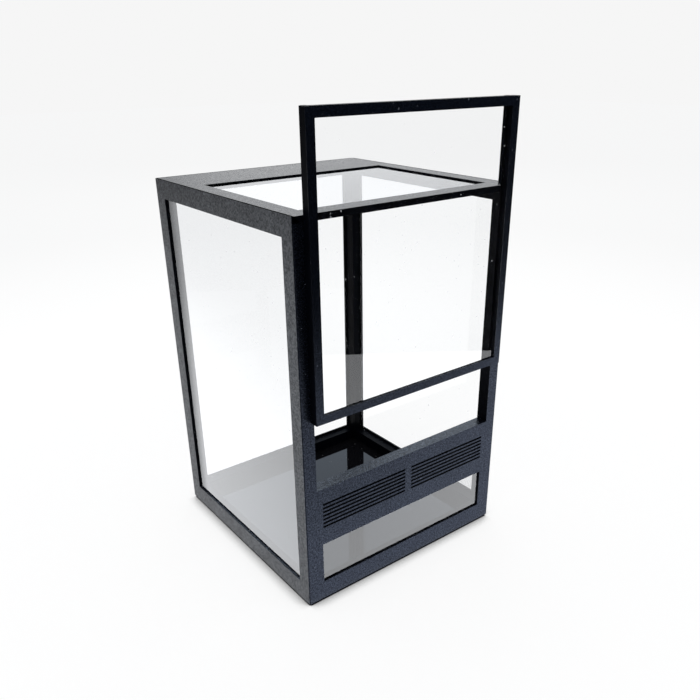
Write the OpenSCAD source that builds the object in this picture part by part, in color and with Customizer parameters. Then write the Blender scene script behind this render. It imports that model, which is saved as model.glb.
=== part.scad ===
// Small upright reptile terrarium: a black panel-built case with clear panes,
// a slotted vent band low on the front, and a framed front door that slides up.
// Front is -Y, up is +Z, and the origin is the middle of the underside.

/* [Case] */
// Outside width of the case
case_w = 100; // [90:1:160]
// Outside depth of the case
case_d = 100.8; // [90:0.1:160]
// Outside height of the case
case_h = 151.4; // [130:0.1:240]
// Thickness of the side, front and rear panels
panel_t = 5.2; // [4.8:0.1:7]
// Thickness of the thin lip that each pane bears on
lip_t = 0.8; // [0.6:0.1:1.8]
// How far each pane's rebate reaches past its opening
rebate_w = 1.1; // [0.9:0.1:1.2]
// Small chamfer along the upright outer edges
edge_c = 0.4; // [0.2:0.1:0.6]

/* [Openings] */
// Face width of the side panels' front stiles
side_front_stile = 6.5; // [6.3:0.1:12]
// Face width of the side panels' rear stiles
side_rear_stile = 7.2; // [6.5:0.1:14]
// Face width of the rear panel's stiles
rear_stile = 6.4; // [6.3:0.1:12]
// Face width of the stiles beside the low front window
window_stile = 7.1; // [6.3:0.1:12]
// Height of the bottom rails' top edge above the table
bottom_rail_z = 8.9; // [8:0.1:14]
// Height of the side and rear panels' top rails, below the top plate
top_rail_h = 5; // [4:0.1:12]

/* [Vent band] */
// Height of the band's lower edge above the table
band_z = 26.6; // [22:0.1:36]
// Height of the band itself
band_h = 24.6; // [20:0.1:40]
// Thickness left in front of the mesh
vent_web = 2.2; // [1.6:0.1:2.6]
// Number of slots in each of the two groups
slot_count = 7; // [3:1:8]
// Height of one slot
slot_h = 0.9; // [0.6:0.1:1.1]
// Height of the lowest slot above the band's lower edge
slot_rise = 7.4; // [5:0.1:9]
// Distance from one slot to the next
slot_pitch = 1.65; // [1.5:0.05:2]
// Width of the bar between the two groups
slot_bar = 3.2; // [2:0.1:8]
// Distance from the case's side to the outer end of the slots
slot_inset = 7.6; // [7:0.1:14]
// Thickness of the insect mesh
mesh_t = 0.5; // [0.3:0.1:0.8]
// Thickness of the frame that clamps the mesh
clamp_t = 1.8; // [1.2:0.1:2]
// Width of the clamp frame's rim
clamp_rim = 2; // [1.5:0.1:2.4]

/* [Top] */
// Thickness of the top plate
top_t = 2.3; // [2:0.1:4]
// Thickness of the top plate's lip over its pane
top_lip_t = 0.6; // [0.4:0.1:1.4]
// Gap seen between the top plate's bevelled edges and the walls'
top_seam = 0.8; // [0.2:0.1:0.9]
// Face width of the top plate's side borders
top_side_border = 7.3; // [6.8:0.1:14]
// Face width of the top plate's front border
top_front_border = 7.5; // [7:0.1:14]
// Face width of the wide solid strip at the rear of the top
top_rear_border = 28.6; // [10:0.1:50]

/* [Floor] */
// Thickness of the base plate under the walls
base_t = 1; // [0.9:0.1:3]
// How far the base plate sits in from the case's faces
base_inset = 0.2; // [0:0.1:0.6]
// Radius of the base plate's corners
base_r = 1.5; // [0.5:0.1:2]
// Thickness of the glossy sheet laid on the base plate
floor_t = 1.5; // [1:0.1:3]
// Gap between that sheet and the walls
floor_fit = 0.15; // [0.1:0.05:0.3]

/* [Panes] */
// Thickness of the fixed panes
pane_t = 2; // [1.5:0.1:3]
// Gap around the edge of every pane
pane_fit = 0.15; // [0.1:0.05:0.25]

/* [Door] */
// How far each side of the door covers the post behind it
door_side_lap = 1.2; // [1:0.1:1.4]
// How far the closed door covers the vent band
door_low_lap = 2.4; // [1:0.1:4]
// Thickness of the door frame
door_t = 3.2; // [2.8:0.1:4.5]
// Face width of the door frame's bars
door_bar = 3.3; // [3:0.1:6]
// Thickness of the door's lip in front of its pane
door_lip_t = 0.8; // [0.6:0.1:1.6]
// Thickness of the door pane
door_pane_t = 1.5; // [1:0.1:1.7]
// Rebate around the door pane
door_rebate_w = 1.2; // [0.9:0.1:1.4]
// Running gap between the door and the case front
door_gap = 0.15; // [0.1:0.05:0.3]
// How far the door stands raised from closed
door_raise = 31; // [0:0.1:60]

/* [Runners] */
// Side clearance between each runner and its jamb
runner_fit = 0.2; // [0.15:0.05:0.3]
// Width of each runner strip on the door's back
runner_w = 1.8; // [1.4:0.1:2.2]
// How far the runners reach in behind the case front
runner_reach = 1.3; // [1:0.1:2]
// Height that the runners stay above the vent band with the door closed
runner_lift = 0.3; // [0.3:0.1:1]

/* [Magnets] */
// Width of the door's bar magnets
magnet_w = 1.2; // [1:0.1:1.6]
// Length of the bar magnets
magnet_len = 5; // [3:0.5:8]
// Thickness of the bar magnets
magnet_t = 1; // [0.8:0.1:1.2]
// Skin left between a magnet and the door's side
magnet_skin = 0.4; // [0.3:0.1:0.6]
// Magnets along each side of the door
magnet_count = 3; // [2:1:5]
// Distance from the door's ends to the outer magnets
magnet_end = 9; // [6:0.5:20]
// Gap around each magnet
magnet_fit = 0.05; // [0.05:0.05:0.1]
// Width of the steel strip in each front post
keeper_w = 1.5; // [1.2:0.1:1.8]
// Thickness of the steel strips
keeper_t = 0.6; // [0.4:0.1:0.8]
// Gap around each steel strip
keeper_fit = 0.1; // [0.1:0.05:0.15]
// Skin left between a steel strip and the post's faces
keeper_skin = 0.4; // [0.35:0.05:0.6]

/* [Fasteners] */
// Diameter of the joint pins
pin_d = 1.5; // [1.2:0.1:1.6]
// Length of the pins across each corner joint
pin_len = 3.2; // [2.8:0.1:3.4]
// Length of the upright pins that locate the top plate
top_pin_len = 5; // [4:0.1:7]
// Depth of those pins in the top plate
top_pin_in_plate = 1.3; // [1:0.1:1.5]
// Skin left between those pins and the walls' inner faces
top_pin_skin = 0.4; // [0.3:0.05:0.5]
// Radial clearance of the pins in their holes
pin_fit = 0.04; // [0.03:0.01:0.08]
// Pins in each corner joint
pins_per_corner = 3; // [2:1:5]
// Shank diameter of the floor screws
screw_d = 1.6; // [1.4:0.1:1.7]
// Head diameter of the floor screws
screw_head_d = 3; // [2.6:0.1:3.2]
// Height of the screws' conical heads
screw_head_h = 0.8; // [0.6:0.1:0.8]
// Overall length of the floor screws
screw_len = 6; // [5:0.1:7]
// Radial clearance of the screws in their holes
screw_fit = 0.05; // [0.05:0.01:0.1]
// Distance from the case's corners to the nearest screw
screw_corner = 18; // [12:1:30]

/* [Hidden] */
$fn = 32;
black = [0.13, 0.135, 0.15];
panel_black = [0.17, 0.175, 0.19];
gloss_black = [0.05, 0.05, 0.055];
clear = [0.82, 0.88, 0.9, 0.35];
steel = [0.66, 0.67, 0.69];

// Heights of the panels' lower edge and of the seat under the top plate
panel_z0 = base_t;
panel_z1 = case_h - top_t;
band_top = band_z + band_h;
post_w = panel_t;

// A pin's or screw's middle, measured in from both faces of a corner or from one face
pin_in = (panel_t + edge_c) / 2 + 0.1;
top_pin_at = panel_t - top_pin_skin - pin_fit - pin_d / 2;
screw_in = panel_t / 2 + 0.3;

// Vent slots, the pocket behind them, and what sits in it
slot_len = (case_w - 2 * slot_inset - slot_bar) / 2;
slots_h = (slot_count - 1) * slot_pitch + slot_h;
slots_z = band_z + slot_rise;
pocket_w = case_w - 2 * slot_inset + 2 * clamp_rim + 2 * pane_fit;
pocket_h = slots_h + 2 * clamp_rim + 2 * pane_fit;
pocket_x = (case_w - pocket_w) / 2;
pocket_z = slots_z - clamp_rim - pane_fit;

// Top opening and the seat of its pane
top_open_x = top_side_border;
top_open_y = top_front_border;
top_open_w = case_w - 2 * top_side_border;
top_open_d = case_d - top_front_border - top_rear_border;
top_pane_z = case_h - top_lip_t - pane_t;

// Door in its raised place
door_w = case_w - 2 * (post_w - door_side_lap);
door_h = case_h - band_top + door_low_lap;
door_x = post_w - door_side_lap;
door_z = case_h - door_h + door_raise;
door_back = -door_gap;
runner_x = post_w + runner_fit;
runner_z0 = band_top + runner_lift - (case_h - door_h);
runner_len = door_h - runner_z0;
magnet_x = door_x + magnet_skin + magnet_fit;
keeper_x = post_w - keeper_skin - keeper_w - keeper_fit;
keeper_y = keeper_skin + keeper_fit;

// Moves from the front left corner, where the case is drawn, to the middle of the underside
module in_case() {
    translate([-case_w / 2, -case_d / 2, 0]) children();
}

// The four walls: a wall is drawn with its face on y = 0 and its length along x
module on_front() { children(); }
module on_rear() { translate([case_w, case_d, 0]) rotate([0, 0, 180]) children(); }
module on_left() { mirror([1, -1, 0]) children(); }
module on_right() { translate([case_w, 0, 0]) mirror([1, 0, 0]) mirror([1, -1, 0]) children(); }

// Wall blank that stands on the base plate, with mitred ends and chamfered corners
module wall_blank(len, top = case_h) {
    translate([0, 0, panel_z0]) linear_extrude(top - panel_z0)
        polygon([[edge_c, 0], [len - edge_c, 0], [len - edge_c / 2, edge_c / 2],
                 [len - panel_t, panel_t], [panel_t, panel_t], [edge_c / 2, edge_c / 2]]);
}

// Space over a wall: flat where the top plate sits, with a bevel up to the wall's outer edge
module over_wall(len) {
    translate([-1, 0, 0]) rotate([90, 0, 90]) linear_extrude(len + 2)
        polygon([[0, case_h], [top_t, panel_z1], [panel_t + 1, panel_z1],
                 [panel_t + 1, case_h + 1], [0, case_h + 1]]);
}

// What the top plate's edge along a wall loses to its own bevel and the seam
module plate_bevel(len) {
    translate([-1, 0, 0]) rotate([90, 0, 90]) linear_extrude(len + 2)
        polygon([[-1, panel_z1 - 1], [top_seam + top_t + 1, panel_z1 - 1],
                 [top_seam - 1, case_h + 1], [-1, case_h + 1]]);
}

// Opening in a wall with the rebate that its pane seats in from the inside
module pane_opening(x0, x1, z0, z1) {
    translate([x0, -1, z0]) cube([x1 - x0, panel_t + 2, z1 - z0]);
    translate([x0 - rebate_w, lip_t, z0 - rebate_w])
        cube([x1 - x0 + 2 * rebate_w, panel_t, z1 - z0 + 2 * rebate_w]);
}

// Pane that fits such an opening
module wall_pane(x0, x1, z0, z1) {
    grow = rebate_w - pane_fit;
    color(clear) translate([x0 - grow, lip_t, z0 - grow])
        cube([x1 - x0 + 2 * grow, pane_t, z1 - z0 + 2 * grow]);
}

// Heights of the corner pins: the front corners keep theirs below the door opening
function spread(low, high, n) = [for (i = [0 : n - 1]) low + (high - low) * i / (n - 1)];
front_pin_z = spread(bottom_rail_z + pin_d, band_top - 2 * pin_d, pins_per_corner);
rear_pin_z = spread(bottom_rail_z + pin_d, panel_z1 - top_pin_len - 2 * pin_d, pins_per_corner);

// One corner's pins, square across the mitre at the corner on x = 0, y = 0
module corner_pins(heights, gap = 0) {
    for (z = heights) translate([pin_in, pin_in, z]) rotate([0, 0, -45]) rotate([0, 90, 0])
        cylinder(d = pin_d + 2 * gap, h = pin_len + 2 * gap, center = true);
}

module at_front_left() { children(); }
module at_front_right() { translate([case_w, 0, 0]) mirror([1, 0, 0]) children(); }
module at_rear_left() { translate([0, case_d, 0]) mirror([0, 1, 0]) children(); }
module at_rear_right() { translate([case_w, case_d, 0]) rotate([0, 0, 180]) children(); }

module all_corner_pins(gap) {
    at_front_left() corner_pins(front_pin_z, gap);
    at_front_right() corner_pins(front_pin_z, gap);
    at_rear_left() corner_pins(rear_pin_z, gap);
    at_rear_right() corner_pins(rear_pin_z, gap);
}

// Upright pins between the top plate and the four corners
module upright_pins(gap = 0) {
    for (x = [top_pin_at, case_w - top_pin_at]) for (y = [top_pin_at, case_d - top_pin_at])
        translate([x, y, panel_z1 + top_pin_in_plate - top_pin_len - gap])
            cylinder(d = pin_d + 2 * gap, h = top_pin_len + 2 * gap);
}

// Places of the screws that hold the base plate under the walls
screw_xs = [screw_corner, case_w - screw_corner];
screw_ys = [screw_corner, case_d - screw_corner];
screw_spots = concat(
    [for (x = screw_xs) for (y = [screw_in, case_d - screw_in]) [x, y]],
    [for (x = [screw_in, case_w - screw_in]) for (y = screw_ys) [x, y]]);

// Countersunk screw drawn upwards from its flush head
module screw_body(gap = 0) {
    rotate_extrude() polygon([[0, -gap], [screw_head_d / 2 + gap, -gap], [screw_head_d / 2 + gap, 0],
        [screw_d / 2 + gap, screw_head_h], [screw_d / 2 + gap, screw_len + gap], [0, screw_len + gap]]);
}

module all_screws(gap) {
    for (p = screw_spots) translate([p[0], p[1], 0]) screw_body(gap);
}

// What is drilled into the walls
module wall_holes() {
    all_corner_pins(pin_fit);
    upright_pins(pin_fit);
    all_screws(screw_fit);
}

// Base plate with rounded corners, made of two crossed slabs and four corner discs
module base_plate() {
    w = case_w - 2 * base_inset;
    d = case_d - 2 * base_inset;
    color(black) in_case() difference() {
        translate([base_inset, base_inset, 0]) union() {
            translate([base_r, 0, 0]) cube([w - 2 * base_r, d, base_t]);
            translate([0, base_r, 0]) cube([w, d - 2 * base_r, base_t]);
            for (x = [base_r, w - base_r]) for (y = [base_r, d - base_r])
                translate([x, y, 0]) cylinder(r = base_r, h = base_t);
        }
        all_screws(screw_fit);
    }
}

// Glossy sheet that lies on the base plate between the walls
module floor_sheet() {
    edge = panel_t + floor_fit;
    color(gloss_black) in_case() translate([edge, edge, base_t])
        cube([case_w - 2 * edge, case_d - 2 * edge, floor_t]);
}

side_x0 = side_front_stile;
side_x1 = case_d - side_rear_stile;
open_z1 = panel_z1 - top_rail_h;

module side_wall() {
    difference() {
        wall_blank(case_d);
        over_wall(case_d);
        pane_opening(side_x0, side_x1, bottom_rail_z, open_z1);
    }
}

module left_panel() {
    color(panel_black) in_case() difference() {
        on_left() side_wall();
        wall_holes();
    }
}

module right_panel() {
    color(panel_black) in_case() difference() {
        on_right() side_wall();
        wall_holes();
    }
}

module rear_panel() {
    color(panel_black) in_case() difference() {
        on_rear() difference() {
            wall_blank(case_w);
            over_wall(case_w);
            pane_opening(rear_stile, case_w - rear_stile, bottom_rail_z, open_z1);
        }
        wall_holes();
    }
}

// Vent slots through the band's web, two groups side by side
module vent_slots() {
    for (x = [slot_inset, slot_inset + slot_len + slot_bar])
        for (i = [0 : slot_count - 1])
            translate([x, -1, slots_z + i * slot_pitch]) cube([slot_len, panel_t, slot_h]);
}

// Slot for the steel strip in the front left post, open at the top
module keeper_slot() {
    translate([keeper_x - keeper_fit, keeper_y - keeper_fit, band_top])
        cube([keeper_w + 2 * keeper_fit, keeper_t + 2 * keeper_fit, panel_z1 - band_top + 1]);
}

module front_panel() {
    color(panel_black) in_case() difference() {
        wall_blank(case_w, panel_z1);
        pane_opening(window_stile, case_w - window_stile, bottom_rail_z, band_z);
        translate([post_w, -1, band_top]) cube([case_w - 2 * post_w, panel_t + 2, case_h]);
        translate([pocket_x, vent_web, pocket_z]) cube([pocket_w, panel_t, pocket_h]);
        vent_slots();
        at_front_left() keeper_slot();
        at_front_right() keeper_slot();
        wall_holes();
    }
}

module top_plate() {
    color(panel_black) in_case() difference() {
        translate([0, 0, panel_z1]) cube([case_w, case_d, top_t]);
        on_left() plate_bevel(case_d);
        on_right() plate_bevel(case_d);
        on_rear() plate_bevel(case_w);
        translate([top_open_x, top_open_y, panel_z1 - 1]) cube([top_open_w, top_open_d, top_t + 2]);
        translate([top_open_x - rebate_w, top_open_y - rebate_w, panel_z1 - 1])
            cube([top_open_w + 2 * rebate_w, top_open_d + 2 * rebate_w, 1 + top_t - top_lip_t]);
        at_front_left() runner_notch();
        at_front_right() runner_notch();
        upright_pins(pin_fit);
    }
}

// Notch in the top plate's front edge that the runner passes through
module runner_notch() {
    translate([post_w, -1, panel_z1 - 1])
        cube([runner_w + 2 * runner_fit, 1 + runner_reach + runner_fit, top_t + 2]);
}

module left_pane() {
    in_case() on_left() wall_pane(side_x0, side_x1, bottom_rail_z, open_z1);
}

module right_pane() {
    in_case() on_right() wall_pane(side_x0, side_x1, bottom_rail_z, open_z1);
}

module rear_pane() {
    in_case() on_rear() wall_pane(rear_stile, case_w - rear_stile, bottom_rail_z, open_z1);
}

module window_pane() {
    in_case() wall_pane(window_stile, case_w - window_stile, bottom_rail_z, band_z);
}

module top_pane() {
    grow = rebate_w - pane_fit;
    color(clear) in_case() translate([top_open_x - grow, top_open_y - grow, top_pane_z])
        cube([top_open_w + 2 * grow, top_open_d + 2 * grow, pane_t]);
}

// Insect mesh behind the slots, plain here at its outer size
module vent_mesh() {
    color(steel) in_case() translate([pocket_x + pane_fit, vent_web, pocket_z + pane_fit])
        cube([pocket_w - 2 * pane_fit, mesh_t, pocket_h - 2 * pane_fit]);
}

// Frame with a middle bar that presses the mesh against the web
module mesh_clamp() {
    window_w = (pocket_w - 2 * pane_fit - 2 * clamp_rim - slot_bar) / 2;
    color(black) in_case() difference() {
        translate([pocket_x + pane_fit, vent_web + mesh_t, pocket_z + pane_fit])
            cube([pocket_w - 2 * pane_fit, clamp_t, pocket_h - 2 * pane_fit]);
        for (x = [slot_inset, slot_inset + window_w + slot_bar])
            translate([x, 0, slots_z]) cube([window_w, panel_t, slots_h]);
    }
}

module front_left_pins() {
    color(black) in_case() at_front_left() corner_pins(front_pin_z);
}

module front_right_pins() {
    color(black) in_case() at_front_right() corner_pins(front_pin_z);
}

module rear_left_pins() {
    color(black) in_case() at_rear_left() corner_pins(rear_pin_z);
}

module rear_right_pins() {
    color(black) in_case() at_rear_right() corner_pins(rear_pin_z);
}

module top_pins() {
    color(black) in_case() upright_pins();
}

// Floor screws with a cross recess in each head
module floor_screws() {
    recess_w = screw_d / 4;
    recess_len = screw_head_d * 0.6;
    recess_h = screw_head_h * 0.7;
    color(steel) in_case() for (p = screw_spots) translate([p[0], p[1], 0]) difference() {
        screw_body();
        for (a = [0, 90]) rotate([0, 0, a]) translate([-recess_len / 2, -recess_w / 2, -1])
            cube([recess_len, recess_w, 1 + recess_h]);
    }
}

module keeper() {
    translate([keeper_x, keeper_y, band_top])
        cube([keeper_w, keeper_t, panel_z1 - band_top - keeper_fit]);
}

module left_keeper() {
    color(steel) in_case() at_front_left() keeper();
}

module right_keeper() {
    color(steel) in_case() at_front_right() keeper();
}

// Heights of the door magnets above the door's lower edge
magnet_zs = spread(magnet_end, door_h - magnet_end, magnet_count);

// Magnets of the left side, with their backs flush with the door's back
module magnets(gap = 0) {
    for (z = magnet_zs)
        translate([magnet_x - gap, door_back - magnet_t - gap, door_z + z - magnet_len / 2 - gap])
            cube([magnet_w + 2 * gap, magnet_t + 2 * gap, magnet_len + 2 * gap]);
}

module both_magnets(gap = 0) {
    at_front_left() magnets(gap);
    at_front_right() magnets(gap);
}

module door_frame() {
    inner_w = door_w - 2 * door_bar;
    inner_h = door_h - 2 * door_bar;
    front = door_back - door_t;
    color(panel_black) in_case() difference() {
        translate([door_x, front, door_z]) cube([door_w, door_t, door_h]);
        translate([door_x + door_bar, front - 1, door_z + door_bar])
            cube([inner_w, door_t + 2, inner_h]);
        translate([door_x + door_bar - door_rebate_w, front + door_lip_t,
                   door_z + door_bar - door_rebate_w])
            cube([inner_w + 2 * door_rebate_w, door_t, inner_h + 2 * door_rebate_w]);
        both_magnets(magnet_fit);
    }
}

module door_pane() {
    grow = door_rebate_w - pane_fit;
    color(clear) in_case() translate([door_x + door_bar - grow, door_back - door_t + door_lip_t,
                                      door_z + door_bar - grow])
        cube([door_w - 2 * door_bar + 2 * grow, door_pane_t, door_h - 2 * door_bar + 2 * grow]);
}

// Strip on the door's back that runs beside the jamb and keeps the door square
module runner() {
    translate([runner_x, door_back, door_z + runner_z0])
        cube([runner_w, runner_reach - door_back, runner_len]);
}

module left_runner() {
    color(black) in_case() at_front_left() runner();
}

module right_runner() {
    color(black) in_case() at_front_right() runner();
}

module door_magnets() {
    color(steel) in_case() both_magnets();
}

base_plate();
floor_sheet();
left_panel();
right_panel();
front_panel();
rear_panel();
top_plate();
left_pane();
right_pane();
rear_pane();
window_pane();
top_pane();
vent_mesh();
mesh_clamp();
front_left_pins();
front_right_pins();
rear_left_pins();
rear_right_pins();
top_pins();
floor_screws();
left_keeper();
right_keeper();
door_frame();
door_pane();
left_runner();
right_runner();
door_magnets();
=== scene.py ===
import math

import bmesh
import bpy
from mathutils import Matrix, Vector


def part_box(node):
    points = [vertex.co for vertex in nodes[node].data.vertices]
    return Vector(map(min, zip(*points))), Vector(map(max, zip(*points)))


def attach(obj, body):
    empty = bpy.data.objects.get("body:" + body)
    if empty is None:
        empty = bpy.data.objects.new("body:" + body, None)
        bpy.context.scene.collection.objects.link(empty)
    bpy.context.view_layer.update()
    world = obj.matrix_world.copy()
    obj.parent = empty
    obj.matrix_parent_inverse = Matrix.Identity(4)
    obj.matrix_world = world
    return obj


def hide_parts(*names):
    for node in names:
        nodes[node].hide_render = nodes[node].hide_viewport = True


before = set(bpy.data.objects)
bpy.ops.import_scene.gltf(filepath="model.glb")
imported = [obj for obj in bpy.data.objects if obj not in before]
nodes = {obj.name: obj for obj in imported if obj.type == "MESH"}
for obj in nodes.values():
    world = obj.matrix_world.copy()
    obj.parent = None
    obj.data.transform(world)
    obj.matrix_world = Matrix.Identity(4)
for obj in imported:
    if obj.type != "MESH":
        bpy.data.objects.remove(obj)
scene = bpy.context.scene
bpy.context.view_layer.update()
mm = 0.001


# Base plate. A thin printed plate, the lowest piece, that the four walls are screwed to.
# It is black plastic straight off a printer, with its smooth first layer downwards.
class Wire:
    """A shader socket that takes arithmetic, and adds other nodes to its tree."""

    def __init__(self, tree, socket=None):
        self.tree, self.socket = tree, socket

    def node(self, kind, inputs=None, out=0, **settings):
        """Adds a node: its settings first, then the values or links of its sockets."""
        made = self.tree.nodes.new("ShaderNode" + kind)
        for name, value in settings.items():
            setattr(made, name, value)
        for name, value in (inputs or {}).items():
            if isinstance(value, Wire):
                self.tree.links.new(value.socket, made.inputs[name])
            else:
                made.inputs[name].default_value = value
        return Wire(self.tree, made.outputs[out] if made.outputs else None)

    def math(self, operation, *values):
        return self.node("Math", dict(enumerate(values)), operation=operation)

    def __add__(self, other):
        return self.math("ADD", self, other)

    __radd__ = __add__

    def __sub__(self, other):
        return self.math("SUBTRACT", self, other)

    def __rsub__(self, other):
        return self.math("SUBTRACT", other, self)

    def __mul__(self, other):
        return self.math("MULTIPLY", self, other)

    __rmul__ = __mul__

    def __truediv__(self, other):
        return self.math("DIVIDE", self, other)

    def __rtruediv__(self, other):
        return self.math("DIVIDE", other, self)

    def either(self, other):
        """The larger of two masks."""
        return self.math("MAXIMUM", self, other)

    def ease(self, low, high, start=0.0, end=1.0):
        """Turns smoothly from start at low to end at high."""
        names = {"Value": self, "From Min": low, "From Max": high, "To Min": start, "To Max": end}
        return self.node("MapRange", names, interpolation_type="SMOOTHSTEP")

    def tint(self, factor, first, second):
        names = {0: factor, 6: first, 7: second}
        return self.node("Mix", names, out=2, data_type="RGBA")

    def place(self):
        """The point on the piece, in the piece's own metres."""
        return self.node("TexCoord", out=3)

    def along(self, axis):
        return self.node("VectorMath", {0: self, 1: axis}, out=1, operation="DOT_PRODUCT")

    def noise(self, at, scale, detail, rough):
        names = {"Vector": at, "Scale": scale, "Detail": detail, "Roughness": rough}
        return self.node("TexNoise", names)

    def specks(self, at, scale, low, high):
        """A mask of sparse grains: only cells whose random value passes low are marked."""
        cells = self.node("TexVoronoi", {"Vector": at, "Scale": scale}, out=1)
        return self.node("SeparateColor", {0: cells}).ease(low, high)

    def bump(self, height, distance, strength):
        return self.node("Bump", {"Height": height, "Distance": distance, "Strength": strength})


def finish_called(name):
    """A new material, and its empty tree ready for nodes."""
    made = bpy.data.materials.new(name)
    made.use_nodes = True
    made.node_tree.nodes.clear()
    return made, Wire(made.node_tree)


def surface(tree, shader):
    tree.node("OutputMaterial", {"Surface": shader})


def coat(name, material):
    """Gives a CAD piece its finish."""
    data = nodes[name].data
    data.materials.clear()
    data.materials.append(material)


layers_per_m, drift_per_m, pebbles_per_m, dust_per_m = 900, 60, 1450, 2300
layer_depth, pebble_depth = 0.01 * mm, 0.09 * mm
layer_index, grain_index, hollow_index = 1.13, 2.3, 1.4
layer_blacks = (0.0006, 0.0009, 0.0022, 1), (0.001, 0.0014, 0.0032, 1)
bed_blacks = (0.0004, 0.0008, 0.0022, 1), (0.0018, 0.0026, 0.0056, 1)
bed_dust = (0.07, 0.075, 0.09, 1)
# Bluish tint on the grains' reflections: a painted bluish light, not the plastic's own colour.
painted_bluish_gleam = (0.84, 0.9, 1.0, 1)
matt_bed = (0.3, 0.46)
bed_fade = 0.03 * mm
rounding = 0.12 * mm


def bed_shader(tree, at, drift, rough):
    """A face that lay on the printer's bed: shiny grains, duller hollows and a little dust.
    rough holds the roughness of the grains and that of the hollows."""
    pebbles = tree.noise(at, pebbles_per_m, 4, 0.75)
    grain = pebbles.ease(0.34, 0.67)
    colour = tree.tint(grain, *bed_blacks)
    colour = tree.tint(tree.specks(at, dust_per_m, 0.9955, 0.999), colour, bed_dust)
    bumps = tree.bump(pebbles, pebble_depth, 0.8)
    raised, hollow = [
        tree.node("BsdfPrincipled", {
            "Base Color": colour, "Roughness": roughness, "IOR": index,
            "Specular Tint": painted_bluish_gleam, "Normal": bumps})
        for roughness, index in zip(rough, (grain_index, hollow_index))]
    return tree.node("MixShader", {0: grain * (0.85 + drift * 0.15), 1: hollow, 2: raised})


def printed(name, *bed_faces, rough=matt_bed, rim=0.1 * mm):
    """Black printed plastic. Each bed face is an outward direction and how far out the face
    lies. The other faces are stacked layer edges, which look nearly black. rim is how far the
    bed's finish reaches round the edge."""
    made, tree = finish_called(name)
    at = tree.place()
    layers = tree.noise(at, layers_per_m, 3, 0.6)
    drift = tree.noise(at, drift_per_m, 3, 0.6).ease(0.3, 0.7)
    shader = tree.node("BsdfPrincipled", {
        "Base Color": tree.tint(drift, *layer_blacks), "IOR": layer_index,
        "Roughness": layers.ease(0.3, 0.7, 0.32, 0.48), "Normal": tree.bump(layers, layer_depth, 0.3)})
    if bed_faces:
        bed = bed_shader(tree, at, drift, rough)
        for direction, level in bed_faces:
            out = at.along(direction)
            not_below = out.ease(level - rim - bed_fade, level - rim)
            not_above = out.ease(level + 2 * bed_fade, level + bed_fade)
            shader = tree.node("MixShader", {0: not_below * not_above, 1: shader, 2: bed})
    surface(tree, shader)
    return made


def soften(name, width=rounding):
    """Rounds a CAD piece's sharp edges a little, as a nozzle leaves them."""
    flat = nodes[name].modifiers.new("flat", "DECIMATE")
    flat.decimate_type = "DISSOLVE"
    flat.angle_limit = math.radians(1)
    edge = nodes[name].modifiers.new("edge", "BEVEL")
    edge.width = width
    edge.segments = 2
    edge.limit_method = "ANGLE"
    edge.angle_limit = math.radians(35)
    edge.harden_normals = True


coat("base_plate", printed("printed_base"))
soften("base_plate")


# Floor sheet. Glossy black acrylic cut to drop in between the walls, so that it mirrors
# the walls and panes above it, with a few specks of dust and faint wiping marks.
fine_rounding = 0.1 * mm
sheet_black, sheet_dust = (0.004, 0.004, 0.005, 1), (0.4, 0.4, 0.4, 1)
acrylic_index = 1.49
gloss, tree = finish_called("glossy_sheet")
at = tree.place()
dust = tree.specks(at, 2400, 0.996, 0.999)
wiped = tree.noise(at, 120, 4, 0.7)
surface(tree, tree.node("BsdfPrincipled", {
    "Base Color": tree.tint(dust * 0.25, sheet_black, sheet_dust),
    "Roughness": wiped.ease(0.3, 0.75, 0.02, 0.05), "IOR": acrylic_index}))
coat("floor_sheet", gloss)
soften("floor_sheet", fine_rounding)


# Walls. Four flat printed panels, mitred together at the corners, each with its outer face
# pebbled by the printer's bed. The left sill and the vent band's top get the bed's paler finish too, as a
# painted highlight on these upward faces.
def outer_face(name, axis, side):
    """A piece's outermost face along an axis: its outward direction and how far out it lies."""
    direction = [side if i == axis else 0 for i in range(3)]
    return direction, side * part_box(name)[side > 0][axis]


upward = (0, 0, 1)
satin_bed = (0.2, 0.32)
# The left pane laps over its sill by the bite, and the keepers stand on the vent band.
pane_bite = 0.95 * mm
left_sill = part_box("left_pane")[0].z + pane_bite
band_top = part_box("left_keeper")[0].z
# The upward left sill and band top take the bed finish below: a painted highlight on upward faces.
walls = {
    "left_panel": (matt_bed, outer_face("left_panel", 0, -1), (upward, left_sill)),
    "right_panel": (matt_bed, outer_face("right_panel", 0, 1)),
    "rear_panel": (matt_bed, outer_face("rear_panel", 1, 1)),
    "front_panel": (satin_bed, outer_face("front_panel", 1, -1), (upward, band_top)),
}
for name, (rough, *faces) in walls.items():
    coat(name, printed("printed_" + name, *faces, rough=rough))
    soften(name)


# Panes. Clear acrylic sheet glued into the rebates, mirroring a good part of the light that meets it at a
# slant. Each wall's pane is a lit or shaded copy of the same sheet, with its own painted reflection strength
# and painted shade behind.
pane_rear = (34 * mm, 43.5 * mm)
film_white = (0.9, 0.92, 0.95, 1)


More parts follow.
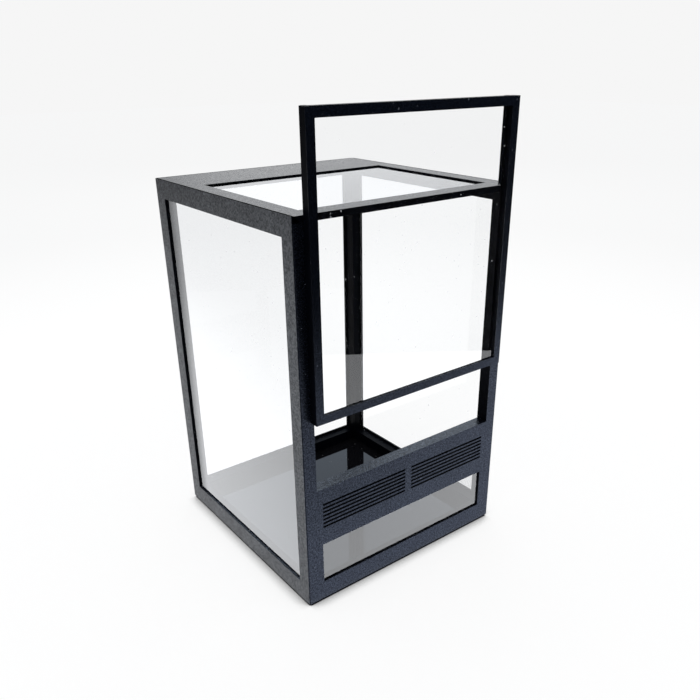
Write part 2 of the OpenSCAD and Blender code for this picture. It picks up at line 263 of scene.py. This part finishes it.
def clear_sheet(name, index, share, strength, passed=1.0):
    """Clear sheet that mirrors both its faces' worth of light, more at a slant.
    share scales how much is mirrored, and strength the mirror's colour: above white it is a painted
    brightening of the reflection. passed is how much of the rest comes through: below 1 it is painted
    shade on what shows behind. The mirror fades beside the rear corner, painted shade on the reflection."""
    made, tree = finish_called(name)
    at = tree.place()
    haze = tree.noise(at, 25, 4, 0.6).ease(0.3, 0.8, 0.0003, 0.002)
    dust = tree.specks(at, 2200, 0.9985, 0.9998)
    inside = tree.node("NewGeometry", out=6)
    once = tree.node("Fresnel", {"IOR": index})
    shaded = at.along((0, 1, 0)).ease(*pane_rear, 1, 0.45)
    shine = once * (2 * share) / (once + 1) * (1 - inside) * shaded
    mirror = tree.node("BsdfAnisotropic", {
        "Color": (0.975 * strength, 0.99 * strength, 1.015 * strength, 1), "Roughness": 0.0})
    through = tree.node("BsdfTransparent", {"Color": (0.997 * passed, 0.999 * passed, passed, 1)})
    film = tree.node("BsdfDiffuse", {"Color": film_white})
    seen = tree.node("MixShader", {0: shine, 1: through, 2: mirror})
    surface(tree, tree.node("MixShader", {0: haze + dust * 0.3, 1: seen, 2: film}))
    return made


# Each copy below sets its own painted reflection strength and its painted shade behind the sheet.
clear = clear_sheet("clear_sheet", index=1.5, share=0.25, strength=2.2)
for name in ("right_pane", "rear_pane"):
    coat(name, clear)
coat("left_pane", clear_sheet("clear_left_sheet", index=1.8, share=1.0, strength=1.65, passed=0.93))
coat("window_pane", clear_sheet("clear_low_sheet", index=1.75, share=1.0, strength=1.55, passed=0.8))


# Top plate and its pane. Printed on the same bed as the walls, bevelled where it meets them,
# with a wide solid strip at the rear. The pane is glued up under its thin lip.
gloss_bed = (0.13, 0.28)
coat("top_plate", printed("printed_top_plate", outer_face("top_plate", 2, 1), rough=gloss_bed, rim=0.03 * mm))
soften("top_plate")
coat("top_pane", clear_sheet("clear_top_sheet", index=1.8, share=1.0, strength=1.05))


# Vent mesh. Woven stainless wire, fine enough to hold small insects, cut to a strip that
# lies in the pocket behind the slots.
mesh_pitch, wire_radius, wire_sides = 0.9 * mm, 0.12 * mm, 6
wire_dark, wire_pale = (0.42, 0.42, 0.43, 1), (0.6, 0.6, 0.6, 1)
steel, tree = finish_called("steel_wire")
drawn = tree.noise(tree.place(), 3000, 2, 0.5)
surface(tree, tree.node("BsdfPrincipled", {
    "Base Color": tree.tint(drawn, wire_dark, wire_pale), "Metallic": 1.0,
    "Roughness": drawn.ease(0.3, 0.7, 0.28, 0.45)}))


def woven(name, low, high, pitch, radius):
    """A plain weave of round wires that fills the box from low to high, flat across y."""
    weave = bmesh.new()
    middle = (low[1] + high[1]) / 2
    sway = (high[1] - low[1]) / 2 - radius
    counts = [int((high[i] - low[i] - 2 * radius) / pitch) for i in (0, 2)]
    starts = [(low[i] + high[i] - n * pitch) / 2 for i, n in zip((0, 2), counts)]
    for run, other in ((0, 1), (1, 0)):
        for j in range(counts[other] + 1):
            side = starts[other] + j * pitch
            ends = (low[(0, 2)[run]], high[(0, 2)[run]])
            places = [starts[run] + k * pitch / 2 for k in range(-1, 2 * counts[run] + 2)]
            places = [ends[0], *[p for p in places if ends[0] < p < ends[1]], ends[1]]
            rings = []
            for place in places:
                turn = math.pi * ((place - starts[run]) / pitch + j + run)
                y = middle + sway * math.cos(turn)
                ring = []
                for k in range(wire_sides):
                    angle = math.tau * k / wire_sides
                    beside = side + radius * math.cos(angle)
                    deep = y + radius * math.sin(angle)
                    spot = (place, deep, beside) if run == 0 else (beside, deep, place)
                    ring.append(weave.verts.new(spot))
                rings.append(ring)
            for first, second in zip(rings, rings[1:]):
                for k in range(wire_sides):
                    weave.faces.new((first[k], first[k - 1], second[k - 1], second[k]))
            weave.faces.new(rings[0])
            weave.faces.new(rings[-1][::-1])
    bmesh.ops.recalc_face_normals(weave, faces=weave.faces)
    for face in weave.faces:
        face.smooth = True
    data = bpy.data.meshes.new(name)
    weave.to_mesh(data)
    weave.free()
    made = bpy.data.objects.new(name, data)
    scene.collection.objects.link(made)
    return made


mesh = woven("insect_mesh", *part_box("vent_mesh"), mesh_pitch, wire_radius)
mesh.data.materials.append(steel)
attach(mesh, "case")
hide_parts("vent_mesh")


# Mesh clamp. A printed frame pressed into the pocket behind the vent slots, which holds the
# mesh by its edges.
coat("mesh_clamp", printed("printed_clamp"))
soften("mesh_clamp", fine_rounding)


# Pins, screws and keepers. Plastic pins glued across the corner joints, small countersunk
# steel screws under the base, and a steel strip in each front post for the door magnets.
pin_black = printed("printed_pins")
for name in ("front_left_pins", "front_right_pins", "rear_left_pins", "rear_right_pins", "top_pins"):
    coat(name, pin_black)
steel_dark, steel_pale = (0.3, 0.3, 0.31, 1), (0.5, 0.5, 0.51, 1)
wear_depth = 0.02 * mm
plain, tree = finish_called("plain_steel")
worn = tree.noise(tree.place(), 1500, 3, 0.6)
surface(tree, tree.node("BsdfPrincipled", {
    "Base Color": tree.tint(worn, steel_dark, steel_pale), "Metallic": 1.0,
    "Roughness": worn.ease(0.3, 0.7, 0.22, 0.4), "Normal": tree.bump(worn, wear_depth, 0.3)}))
for name in ("floor_screws", "left_keeper", "right_keeper"):
    coat(name, plain)


# Door. A printed frame with its pebbled face to the front, a clear pane in its rear rebate,
# a smooth strip behind each side that runs beside the jamb, and bar magnets in its back.
smooth_bed = (0.16, 0.26)
coat("door_frame", printed("printed_door", outer_face("door_frame", 1, -1), rough=smooth_bed))
soften("door_frame")
coat("door_pane", clear_sheet("clear_door_sheet", index=1.5, share=0.4, strength=3.6))
strip = printed("printed_strip")
for name in ("left_runner", "right_runner"):
    coat(name, strip)
    soften(name, fine_rounding)
coat("door_magnets", plain)


# Table. A wide white table that fades evenly. Round the case the camera sees a painted shadow, drawn by
# ambient occlusion, over a faint real one. To glossy rays the table is painted dark some way in front, past a
# line that the door pane mirrors, at the left rear and at the left, and painted bluish just in front: a
# painted reflection of a dark room.
table_half = 3.0
table_line = 0.28
table_glow, glow_fade = 0.855, 0.07
# Bluish colour painted on the table for rough glossy rays only, a painted reflection.
painted_reflection_tint = (0.5, 0.57, 0.76, 1)
table = bmesh.new()
bmesh.ops.create_grid(table, x_segments=1, y_segments=1, size=table_half)
data = bpy.data.meshes.new("table")
table.to_mesh(data)
table.free()
floor = bpy.data.objects.new("table", data)
scene.collection.objects.link(floor)
white, tree = finish_called("white_table")
at = tree.place()
camera_ray = tree.node("LightPath", out=0)
glossy_ray = tree.node("LightPath", out=3)
sharp_ray = tree.node("LightPath", out=4)
front = at.along((0, -1, 0))
left = at.along((-1, 0, 0))
# Painted reflection: to glossy rays the table is painted black past the mirrored line in front, at the left
# rear and at the left.
past_line = at.along((0.564, -0.826, 0)).ease(table_line - mm, table_line + mm) * sharp_ray
dimmer = at.along((-0.5, -1, 0)).ease(0.06, 0.11) * 0.4 + front.ease(0.2, 0.26) * 0.6
painted_dark_front = front.ease(0.08, 0.14) * (past_line + dimmer * (1 - sharp_ray))
painted_dark_rear = at.along((-0.55, 0.83, 0)).ease(0.85, 1.05) * left.ease(0.2, 0.4)
painted_dim_left = left.ease(0.06, 0.24) * sharp_ray * 0.37
painted_dark_reflection = tree.math("MINIMUM", glossy_ray, painted_dark_front + painted_dark_rear + painted_dim_left)
# Painted shadow: the glow the camera sees is dimmed by ambient occlusion round the case.
outside_painted_shadow = tree.node("AmbientOcclusion", {"Distance": 0.01}, out=1, samples=8).ease(0.3, 0.8)
far = tree.node("VectorMath", {0: at}, out=1, operation="LENGTH").ease(0.28, 0.7)
# Painted reflection: rough glossy rays see the table painted bluish just in front.
painted_bluish_reflection = glossy_ray * (1 - sharp_ray) * front.ease(0.044, 0.054)
hue = tree.tint(painted_bluish_reflection, (1, 1, 1, 1), painted_reflection_tint)
level = outside_painted_shadow.either(glossy_ray) * (table_glow - far * glow_fade)
glow = tree.node("Emission", {"Color": tree.tint(level, (0, 0, 0, 1), hue)})
faint = tree.node("BsdfDiffuse", {"Color": (0.15, 0.15, 0.15, 1)})
lit = tree.node("BsdfDiffuse", {"Color": (0.96, 0.96, 0.965, 1)})
unlit = tree.node("BsdfDiffuse", {"Color": (0, 0, 0, 1)})
bright = tree.node("AddShader", {0: faint, 1: glow})
shown = tree.node("MixShader", {0: camera_ray.either(glossy_ray), 1: lit, 2: bright})
surface(tree, tree.node("MixShader", {0: painted_dark_reflection, 1: shown, 2: unlit}))
floor.data.materials.append(white)


# Room. Even soft light from all round, a white backdrop for the camera, and what the gloss
# mirrors: a white sky to the rear, and a dim room in front, at the left rear and overhead.
world = bpy.data.worlds.new("studio")
scene.world = world
world.use_nodes = True
world.node_tree.nodes.clear()
tree = Wire(world.node_tree)
away = tree.node("TexCoord")
rise = away.along(upward)
soft_light = tree.node("Background", {"Color": (0.97, 0.985, 1, 1), "Strength": 0.95})
backdrop = tree.node("Background", {"Color": (1, 1, 1, 1), "Strength": 0.921})
sky = tree.node("Background", {
    "Color": tree.tint(rise.ease(0.25, 0.5), (1, 1, 1, 1), (0.82, 0.95, 1.12, 1)), "Strength": 1.0})
dim_room = tree.node("Background", {"Color": (0.05, 0.08, 0.16, 1), "Strength": 0.3})
in_front = away.along((0.2, -0.98, 0)).ease(-0.3, 0.15)
left_rear = away.along((-0.55, 0.83, 0)).ease(0.45, 0.7)
overhead = rise.ease(0.6, 0.8, 0, 0.85)
dim = in_front.either(left_rear).either(overhead)
mirrored = tree.node("MixShader", {0: dim, 1: sky, 2: dim_room})
seen = tree.node("MixShader", {0: tree.node("LightPath", out=0), 1: soft_light, 2: backdrop})
whole = tree.node("MixShader", {0: tree.node("LightPath", out=3), 1: seen, 2: mirrored})
tree.node("OutputWorld", {"Surface": whole})


# Lamp. A wide soft lamp above the right rear that models the edges and lays the faint
# shadow towards the camera. The gloss doesn't mirror it.
lamp_side, lamp_watts = 0.5, 1.5
lamp_target = Vector((0, 0, 0.1))
data = bpy.data.lights.new("over_light", "AREA")
data.shape = "SQUARE"
data.size = lamp_side
data.energy = lamp_watts
lamp = bpy.data.objects.new("over_light", data)
lamp.location = (0.55, 0.75, 0.6)
lamp.rotation_euler = (lamp_target - lamp.location).to_track_quat("-Z", "Y").to_euler()
lamp.visible_glossy = False
scene.collection.objects.link(lamp)


# Camera. Set from the photograph's perspective, at the left front and looking down at the
# case. The picture is cropped off centre, so the lens is shifted by the same share.
picture_side_px = 700
focal_px = 714.19
centre_px = (363.80, 395.70)
across, down, lean = math.radians(38.01), math.radians(25.29), -0.0058
forward = Vector((math.sin(across) * math.cos(down), math.cos(across) * math.cos(down), -math.sin(down)))
right = Vector((math.cos(across), -math.sin(across), 0))
up = right.cross(forward)
right, up = math.cos(lean) * right + math.sin(lean) * up, math.cos(lean) * up - math.sin(lean) * right
spot = Vector((-167.34, -235.4, 194.54)) * mm
data = bpy.data.cameras.new("camera")
data.sensor_width = 36
data.lens = focal_px / picture_side_px * data.sensor_width
data.shift_x = (picture_side_px / 2 - centre_px[0]) / picture_side_px
data.shift_y = (centre_px[1] - picture_side_px / 2) / picture_side_px
data.clip_start, data.clip_end = 0.01, 20
camera = bpy.data.objects.new("camera", data)
camera.matrix_world = Matrix.Translation(spot) @ Matrix((right, up, -forward)).transposed().to_4x4()
scene.collection.objects.link(camera)
scene.camera = camera
scene.view_settings.view_transform = "Standard"
